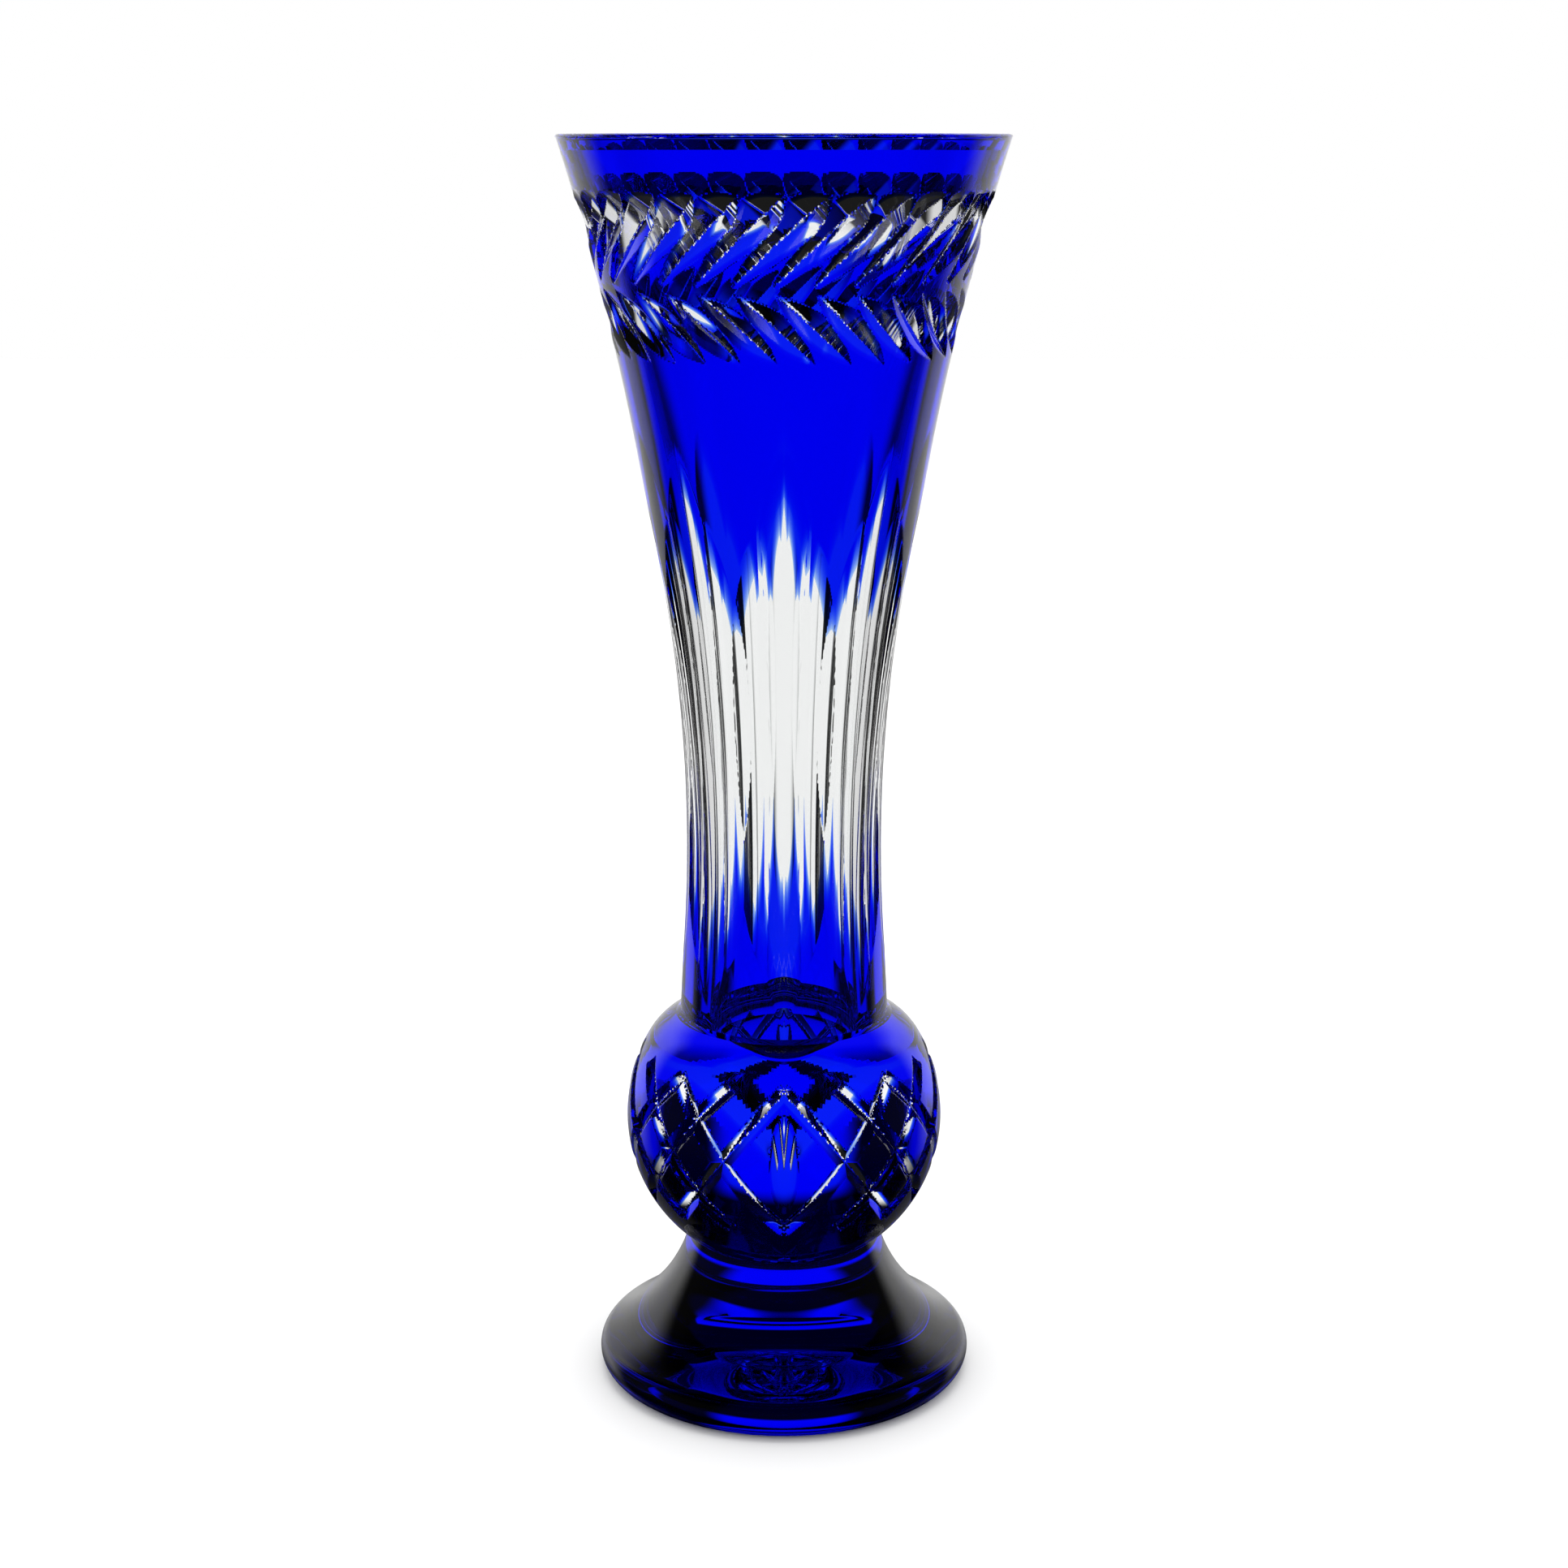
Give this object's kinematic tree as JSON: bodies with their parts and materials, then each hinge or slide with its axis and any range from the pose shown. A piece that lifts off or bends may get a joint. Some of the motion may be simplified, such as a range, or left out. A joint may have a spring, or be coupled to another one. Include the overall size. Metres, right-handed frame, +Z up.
{
  "type": "footed vase",
  "caption": "Footed trumpet vase in clear crystal with a cobalt casing cut through in a herringbone band, tall flutes and a diamond lattice round the bulb.",
  "frame": {"origin": "centre of the foot's base ring, on the table", "axes": "+Z up the vase's axis to the rim; a plain panel with an oval cut faces -Y"},
  "size_m": [0.1034, 0.1034, 0.3],
  "materials": {
    "clear_crystal": "clear lead crystal, polished cuts",
    "cobalt_casing": "thin cobalt blue casing glass, polished"
  },
  "bodies": {
    "root": {"crystal_bowl": "clear_crystal", "crystal_foot": "clear_crystal", "rim_casing": "cobalt_casing", "trumpet_casing": "cobalt_casing", "shoulder_casing": "cobalt_casing", "panel_front": "cobalt_casing", "panel_right": "cobalt_casing", "panel_back": "cobalt_casing", "panel_left": "cobalt_casing", "diamonds_front_right": "cobalt_casing", "diamonds_back_right": "cobalt_casing", "diamonds_back_left": "cobalt_casing", "diamonds_front_left": "cobalt_casing", "base_casing": "cobalt_casing", "foot_casing": "cobalt_casing"}
  },
  "joints": []
}
